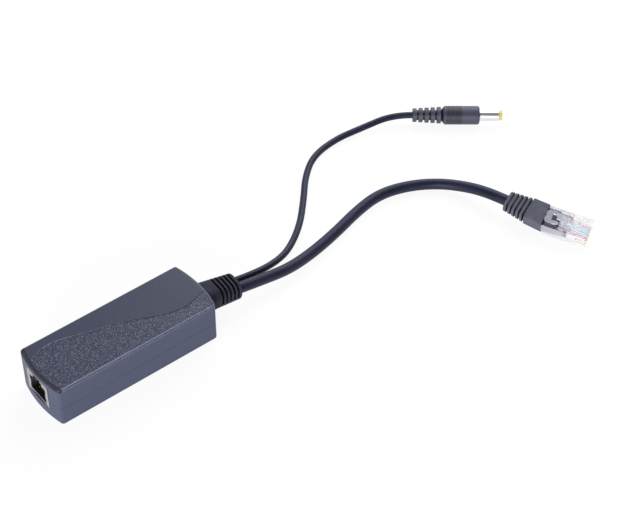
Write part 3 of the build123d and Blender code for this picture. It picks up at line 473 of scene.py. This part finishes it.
flank = add_node(
    tree, "ShaderNodeMath", {0: aside.outputs["Value"], 1: milky_aside}, operation="LESS_THAN"
)
either = add_node(
    tree, "ShaderNodeMath", {0: high_up.outputs[0], 1: flank.outputs[0]}, operation="MAXIMUM"
)
cloudy = add_node(
    tree, "ShaderNodeMath", {0: either.outputs[0], 1: rearward.outputs[0]}, operation="MULTIPLY"
)
clear_share = add_node(
    tree, "ShaderNodeMapRange", {"Value": cloudy.outputs[0], "To Min": 1.0, "To Max": 0.45}
)
tree.links.new(clear_share.outputs[0], shader.inputs["Transmission Weight"])
filled_share = add_node(
    tree, "ShaderNodeMapRange", {"Value": cloudy.outputs[0], "To Min": 0.4, "To Max": 0.85}
)
tree.links.new(filled_share.outputs[0], shader.inputs["Alpha"])
milky = add_node(
    tree, "ShaderNodeMix",
    {0: cloudy.outputs[0], 6: tone.outputs["Color"], 7: linear("#EAEAF4")}, data_type="RGBA",
)
tree.links.new(milky.outputs[2], shader.inputs["Base Color"])
raised = add_node(
    tree, "ShaderNodeBump", {"Height": ripple.outputs["Fac"], "Strength": 0.15, "Distance": 0.0001}
)
tree.links.new(raised.outputs["Normal"], shader.inputs["Normal"])
dress("plug_body", clear_plastic)

# Hard gold over nickel: warm, bright and nearly mirror smooth, with slight drawing marks.
hard_gold, tree, shader = new_finish("hard_gold_plating", Metallic=1.0, Roughness=0.22)
place = add_node(tree, "ShaderNodeTexCoord")
marks = add_node(tree, "ShaderNodeTexNoise", {"Vector": place.outputs["Object"], "Scale": 2500.0})
tone = add_node(tree, "ShaderNodeValToRGB", {"Fac": marks.outputs["Fac"]})
tone.color_ramp.elements[0].color = linear("#E6D3A3")
tone.color_ramp.elements[1].color = linear("#F3E5C2")
tree.links.new(tone.outputs["Color"], shader.inputs["Base Color"])
dress("plug_blades", hard_gold)

# Polyethylene insulation in pale pair colours: satin, with a slight waxy glow.
insulation, tree, shader = new_finish("polyethylene_pairs", Roughness=0.4, IOR=1.51)
which = add_node(tree, "ShaderNodeAttribute", attribute_name="wire_share")
pairs = add_node(tree, "ShaderNodeValToRGB", {"Fac": which.outputs["Fac"]})
pairs.color_ramp.interpolation = "CONSTANT"
pairs.color_ramp.elements.remove(pairs.color_ramp.elements[1])
wire_colours = (
    "#FBD9E4", "#F7ADC2", "#E4F4FA", "#9AD6EA", "#DDEFF8", "#A8DFE2", "#F7E1EA", "#F0A3B8",
)
pairs.color_ramp.elements[0].color = linear(wire_colours[0])
for number, code in enumerate(wire_colours[1:], 1):
    pairs.color_ramp.elements.new(number / len(wire_colours)).color = linear(code)
place = add_node(tree, "ShaderNodeTexCoord")
drawn = add_node(tree, "ShaderNodeTexNoise", {"Vector": place.outputs["Object"], "Scale": 700.0})
tone = add_node(
    tree, "ShaderNodeMix", {6: pairs.outputs["Color"], 7: linear("#FFFFFF")}, data_type="RGBA"
)
streaked = add_node(tree, "ShaderNodeMath", {0: drawn.outputs["Fac"], 1: 0.8}, operation="MULTIPLY")
tree.links.new(streaked.outputs[0], tone.inputs[0])
tree.links.new(tone.outputs[2], shader.inputs["Base Color"])


def in_plug(x, y, z):
    """A point of the modular plug, in mm across, up and along from its rear face."""
    return plug_rear + (plug_across * x + plug_up * y + plug_heading * z) * MM


def new_growth(name, **sizes):
    """A Geometry Nodes tree with named number inputs, and its input node."""
    tree = bpy.data.node_groups.new(name, "GeometryNodeTree")
    tree.interface.new_socket("Geometry", in_out="INPUT", socket_type="NodeSocketGeometry")
    for size in sizes:
        kind = "NodeSocketInt" if isinstance(sizes[size], int) else "NodeSocketFloat"
        tree.interface.new_socket(size, in_out="INPUT", socket_type=kind)
    tree.interface.new_socket("Geometry", in_out="OUTPUT", socket_type="NodeSocketGeometry")
    return tree, add_node(tree, "NodeGroupInput")


def grow(name, mesh, tree, sizes, finish):
    """Ends a tree with its finish, runs it on a mesh, and gives the plain result as an object."""
    last = tree.nodes[-1].outputs[0]
    whole = add_node(tree, "GeometryNodeRealizeInstances", {"Geometry": last})
    smooth = add_node(tree, "GeometryNodeSetShadeSmooth", {"Geometry": whole.outputs[0]})
    dressed = add_node(
        tree, "GeometryNodeSetMaterial", {"Geometry": smooth.outputs[0], "Material": finish}
    )
    add_node(tree, "NodeGroupOutput", {"Geometry": dressed.outputs[0]})
    piece = bpy.data.objects.new(name, mesh)
    bpy.context.collection.objects.link(piece)
    growth = piece.modifiers.new("growth", "NODES")
    growth.node_group = tree
    for socket in tree.interface.items_tree:
        if socket.name in sizes:
            growth[socket.identifier] = sizes[socket.name]
    grown = piece.evaluated_get(bpy.context.evaluated_depsgraph_get())
    piece.data = bpy.data.meshes.new_from_object(grown)
    piece.modifiers.clear()
    closed = bmesh.new()
    closed.from_mesh(piece.data)
    bmesh.ops.recalc_face_normals(closed, faces=closed.faces)
    closed.to_mesh(piece.data)
    closed.free()
    return piece


# Each wire is a path of edges that carries the wire's share of the colour ramp. It leaves the
# jacket in one of two rows, splays out, and runs on straight to the nose, 1 mm from the next.
jacket_end, splay_start, splay_end, wire_end = 7.0, 8.2, 13.0, 21.2
close_pitch, row_rise, nose_rise = 0.51, 0.65, -0.6
spots, edges, shares = [], [], []
for number in range(len(wire_colours)):
    x = number - (len(wire_colours) - 1) / 2
    row = row_rise if number % 2 else -row_rise
    first = len(spots)
    spots += [
        in_plug(x * close_pitch, row, jacket_end), in_plug(x * close_pitch, row, splay_start),
        in_plug(x, nose_rise, splay_end), in_plug(x, nose_rise, wire_end),
    ]
    edges += [(first + step, first + step + 1) for step in range(3)]
    shares += [(number + 0.5) / len(wire_colours)] * 4
paths = bpy.data.meshes.new("wire_paths")
paths.from_pydata(spots, edges, [])
paths.attributes.new("wire_share", "FLOAT", "POINT").data.foreach_set("value", shares)
wire_sizes = {"Wire radius": 0.43 * MM, "Bend radius": 4.0 * MM}
tree, given = new_growth("wire_growth", **wire_sizes)
lines = add_node(tree, "GeometryNodeMeshToCurve", {"Mesh": given.outputs["Geometry"]})
bent = add_node(
    tree, "GeometryNodeFilletCurve",
    {
        "Curve": lines.outputs[0], "Radius": given.outputs["Bend radius"], "Limit Radius": True,
        "Count": 4,
    },
    mode="POLY",
)
outline = add_node(
    tree, "GeometryNodeCurvePrimitiveCircle",
    {"Resolution": 14, "Radius": given.outputs["Wire radius"]},
)
add_node(
    tree, "GeometryNodeCurveToMesh",
    {"Curve": bent.outputs[0], "Profile Curve": outline.outputs[0], "Fill Caps": True},
)
wire_fan = grow("wire_fan", paths, tree, wire_sizes, insulation)
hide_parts("plug_wires")
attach(wire_fan, "root")

# DC plug
# A straight barrel plug overmoulded in soft PVC: five ribs on its relief, a ringed and then smooth
# grip, a nickel-plated barrel, and a yellow insulating tip round the inner contact.
grip_pvc, tree, shader = new_finish("moulded_pvc_grip", Roughness=0.5, IOR=1.53)
place = add_node(tree, "ShaderNodeTexCoord")
skin = add_node(
    tree, "ShaderNodeTexNoise", {"Vector": place.outputs["Object"], "Scale": 2200.0, "Detail": 3.0}
)
tone = add_node(tree, "ShaderNodeValToRGB", {"Fac": skin.outputs["Fac"]})
tone.color_ramp.elements[0].color = linear("#3F4254")
tone.color_ramp.elements[1].color = linear("#4A4D60")
shaded = shade_grooves(tree, tone.outputs["Color"], shut=0.5, wide=0.88)
# Between the fine rings the grip is in shade, up to just under their crests.
dc_end = Vector((202.3, 42.3, 4.7)) * MM
dc_heading = Vector((7.8, -6.2, 0)).normalized()
rings_middle, rings_half, rings_crest = 20.3 * MM, 3.9 * MM, 4.63 * MM
offset = add_node(
    tree, "ShaderNodeVectorMath", {0: place.outputs["Object"], 1: tuple(dc_end)},
    operation="SUBTRACT",
)
along = add_node(
    tree, "ShaderNodeVectorMath", {0: offset.outputs[0], 1: tuple(dc_heading)},
    operation="DOT_PRODUCT",
)
outward = add_node(
    tree, "ShaderNodeVectorMath", {0: offset.outputs[0], 1: tuple(dc_heading)},
    operation="CROSS_PRODUCT",
)
reach = add_node(tree, "ShaderNodeVectorMath", {0: outward.outputs[0]}, operation="LENGTH")
ringed = add_node(
    tree, "ShaderNodeMath", {0: along.outputs["Value"], 1: rings_middle, 2: rings_half},
    operation="COMPARE",
)
under = add_node(
    tree, "ShaderNodeMath", {0: reach.outputs["Value"], 1: rings_crest}, operation="LESS_THAN"
)
between = add_node(
    tree, "ShaderNodeMath", {0: ringed.outputs[0], 1: under.outputs[0]}, operation="MULTIPLY"
)
shadow = add_node(tree, "ShaderNodeMath", {0: between.outputs[0], 1: 0.8}, operation="MULTIPLY")
striped = add_node(
    tree, "ShaderNodeMix", {0: shadow.outputs[0], 6: shaded, 7: linear("#0E0F16")},
    data_type="RGBA",
)
tree.links.new(striped.outputs[2], shader.inputs["Base Color"])
raised = add_node(
    tree, "ShaderNodeBump", {"Height": skin.outputs["Fac"], "Strength": 0.2, "Distance": 0.0001}
)
tree.links.new(raised.outputs["Normal"], shader.inputs["Normal"])
dress("dc_plug_grip", grip_pvc)

# Eight fine rings go round the rear half of the grip, so that it can be held.
ring_sizes = {"Rings": 8, "Pitch": 1.0 * MM, "Ring radius": 4.45 * MM, "Section radius": 0.25 * MM}
tree, given = new_growth("ring_growth", **ring_sizes)
step_on = add_node(tree, "ShaderNodeCombineXYZ", {"Z": given.outputs["Pitch"]})
stands = add_node(
    tree, "GeometryNodeMeshLine", {"Count": given.outputs["Rings"], "Offset": step_on.outputs[0]}
)
ring = add_node(
    tree, "GeometryNodeCurvePrimitiveCircle",
    {"Resolution": 48, "Radius": given.outputs["Ring radius"]},
)
section = add_node(
    tree, "GeometryNodeCurvePrimitiveCircle",
    {"Resolution": 12, "Radius": given.outputs["Section radius"]},
)
hoop = add_node(
    tree, "GeometryNodeCurveToMesh", {"Curve": ring.outputs[0], "Profile Curve": section.outputs[0]}
)
add_node(
    tree, "GeometryNodeInstanceOnPoints", {"Points": stands.outputs[0], "Instance": hoop.outputs[0]}
)
grip_rings = grow("dc_grip_rings", bpy.data.meshes.new("ring_start"), tree, ring_sizes, grip_pvc)
first_ring = dc_end + dc_heading * 16.8 * MM
grip_rings.data.transform(
    Matrix.Translation(first_ring) @ dc_heading.to_track_quat("Z", "Y").to_matrix().to_4x4()
)
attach(grip_rings, "root")

# Nickel over turned brass: bright, with fine turning marks.
nickel, tree, shader = new_finish("nickel_plated_brass", Metallic=1.0, Roughness=0.4)
place = add_node(tree, "ShaderNodeTexCoord")
turned = add_node(tree, "ShaderNodeTexNoise", {"Vector": place.outputs["Object"], "Scale": 1800.0})
tone = add_node(tree, "ShaderNodeValToRGB", {"Fac": turned.outputs["Fac"]})
tone.color_ramp.elements[0].color = linear("#D9D7DE")
tone.color_ramp.elements[1].color = linear("#F4F2F7")
tree.links.new(tone.outputs["Color"], shader.inputs["Base Color"])
dress("dc_barrel", nickel)
dress("dc_contact_sleeve", nickel)

# Yellow acetal, moulded: glossy and clean.
yellow_acetal, tree, shader = new_finish("yellow_acetal", Roughness=0.3, IOR=1.48)
place = add_node(tree, "ShaderNodeTexCoord")
mottle = add_node(tree, "ShaderNodeTexNoise", {"Vector": place.outputs["Object"], "Scale": 900.0})
tone = add_node(tree, "ShaderNodeValToRGB", {"Fac": mottle.outputs["Fac"]})
tone.color_ramp.elements[0].color = linear("#E3DA72")
tone.color_ramp.elements[1].color = linear("#F1EA98")
tree.links.new(tone.outputs["Color"], shader.inputs["Base Color"])
dress("dc_tip_insulator", yellow_acetal)

# Circuit board and its components
# A glass-epoxy board with a green mask, and the parts that change the voltage: transformers,
# capacitors, rectifiers and the controller. All of it is inside the closed housing.
inner_finishes = {
    "solder_mask": (("circuit_board",), "#0C3B1E", "#14522B", 0.35),
    "moulded_epoxy": (
        ("lan_transformer", "bridge_rectifiers", "controller_chip", "optocoupler", "output_diode"),
        "#121214", "#1C1C1F", 0.5,
    ),
    "sintered_ferrite": (("flyback_core", "output_inductor"), "#1D1D20", "#2B2B2F", 0.6),
    "moulded_phenolic": (("flyback_bobbin",), "#0E0E10", "#18181A", 0.45),
    "polyester_tape": (("flyback_winding",), "#B8901E", "#D0A62E", 0.35),
    "shrunk_pvc_sleeve": (("input_capacitor", "output_capacitor"), "#1A1D45", "#242A5C", 0.3),
    "lacquered_ceramic": (("safety_capacitor",), "#1C4A8C", "#275DA6", 0.25),
    "fired_ceramic": (("chip_passives",), "#8C7350", "#A58A64", 0.5),
    "polyethylene_lead": (("network_wires",), "#7F8FA8", "#9CAAC0", 0.4),
    "polyethylene_power": (("dc_wires",), "#8E1B1B", "#B02626", 0.4),
}
for name, (nodes, dark, pale, rough) in inner_finishes.items():
    finish, tree, shader = new_finish(name, Roughness=rough)
    place = add_node(tree, "ShaderNodeTexCoord")
    mottle = add_node(
        tree, "ShaderNodeTexNoise",
        {"Vector": place.outputs["Object"], "Scale": 800.0, "Detail": 3.0},
    )
    tone = add_node(tree, "ShaderNodeValToRGB", {"Fac": mottle.outputs["Fac"]})
    tone.color_ramp.elements[0].color = linear(dark)
    tone.color_ramp.elements[1].color = linear(pale)
    tree.links.new(tone.outputs["Color"], shader.inputs["Base Color"])
    raised = add_node(
        tree, "ShaderNodeBump",
        {"Height": mottle.outputs["Fac"], "Strength": 0.2, "Distance": 0.0001},
    )
    tree.links.new(raised.outputs["Normal"], shader.inputs["Normal"])
    for node in nodes:
        dress(node, finish)

# Table and light
# A seamless white table that shows as white to the camera and in gloss and clear plastic, with a
# faint shadow kept. Two soft lamps, low at the front left and higher at the rear right, light it in
# a pale room.
table = bpy.data.meshes.new("table")
table.from_pydata([(-3, -3, 0), (3, -3, 0), (3, 3, 0), (-3, 3, 0)], [], [(0, 1, 2, 3)])
table_top = bpy.data.objects.new("table", table)
bpy.context.collection.objects.link(table_top)
# It lies a tenth of a millimetre lower than the pieces, so that no face shares its plane.
table_drop = 0.0001
table_top.location.z = -table_drop
paper, tree, shader = new_finish("white_paper", Roughness=1.0)
shader.inputs["Base Color"].default_value = linear("#F4F4F4")
glow = add_node(tree, "ShaderNodeEmission", {"Color": (1, 1, 1, 1), "Strength": 1.07})
ray = add_node(tree, "ShaderNodeLightPath")
seen = add_node(
    tree, "ShaderNodeMath",
    {0: ray.outputs["Is Camera Ray"], 1: ray.outputs["Is Transmission Ray"]}, operation="MAXIMUM",
)
shown = add_node(
    tree, "ShaderNodeMath", {0: seen.outputs[0], 1: ray.outputs["Is Glossy Ray"]},
    operation="MAXIMUM",
)
share = add_node(tree, "ShaderNodeMath", {0: shown.outputs[0], 1: 0.85}, operation="MULTIPLY")
mixed = add_node(
    tree, "ShaderNodeMixShader",
    {0: share.outputs[0], 1: shader.outputs["BSDF"], 2: glow.outputs["Emission"]},
)
tree.links.new(mixed.outputs["Shader"], tree.nodes["Material Output"].inputs["Surface"])
table.materials.append(paper)

room = bpy.data.worlds.new("room")
bpy.context.scene.world = room
room.use_nodes = True
tree = room.node_tree
backdrop = tree.nodes["Background"]
backdrop.inputs["Color"].default_value = linear("#EEF1FC")
ray = add_node(tree, "ShaderNodeLightPath")
seen = add_node(
    tree, "ShaderNodeMath",
    {0: ray.outputs["Is Camera Ray"], 1: ray.outputs["Is Transmission Ray"]}, operation="MAXIMUM",
)
# The room is dimmer on the side that the photographer stands on, and lightest over the far side.
toward = add_node(tree, "ShaderNodeTexCoord")
facing = add_node(
    tree, "ShaderNodeVectorMath", {0: toward.outputs["Generated"], 1: (-0.44, -0.55, 0.71)},
    operation="DOT_PRODUCT",
)
dim = add_node(
    tree, "ShaderNodeMapRange",
    {
        "Value": facing.outputs["Value"], "From Min": -0.6, "From Max": 0.6,
        "To Min": 1.1, "To Max": 0.08,
    },
)
strength = add_node(tree, "ShaderNodeMix", {0: seen.outputs[0], 2: dim.outputs[0], 3: 1.0})
tree.links.new(strength.outputs[0], backdrop.inputs["Strength"])

# Both lamps point at the table under the strain relief.
lit_spot = Vector((0.06, 0, 0))
for name, spot, size, power in (
    ("lamp_low", (-0.6, -0.56, 0.12), 0.4, 10.0),
    ("lamp_right", (0.4, 0.2, 0.32), 0.42, 1.6),
):
    lamp = bpy.data.lights.new(name, "AREA")
    lamp.size = size
    lamp.energy = power
    holder = bpy.data.objects.new(name, lamp)
    bpy.context.collection.objects.link(holder)
    holder.location = spot
    holder.rotation_euler = (lit_spot - Vector(spot)).to_track_quat("-Z", "Y").to_euler()
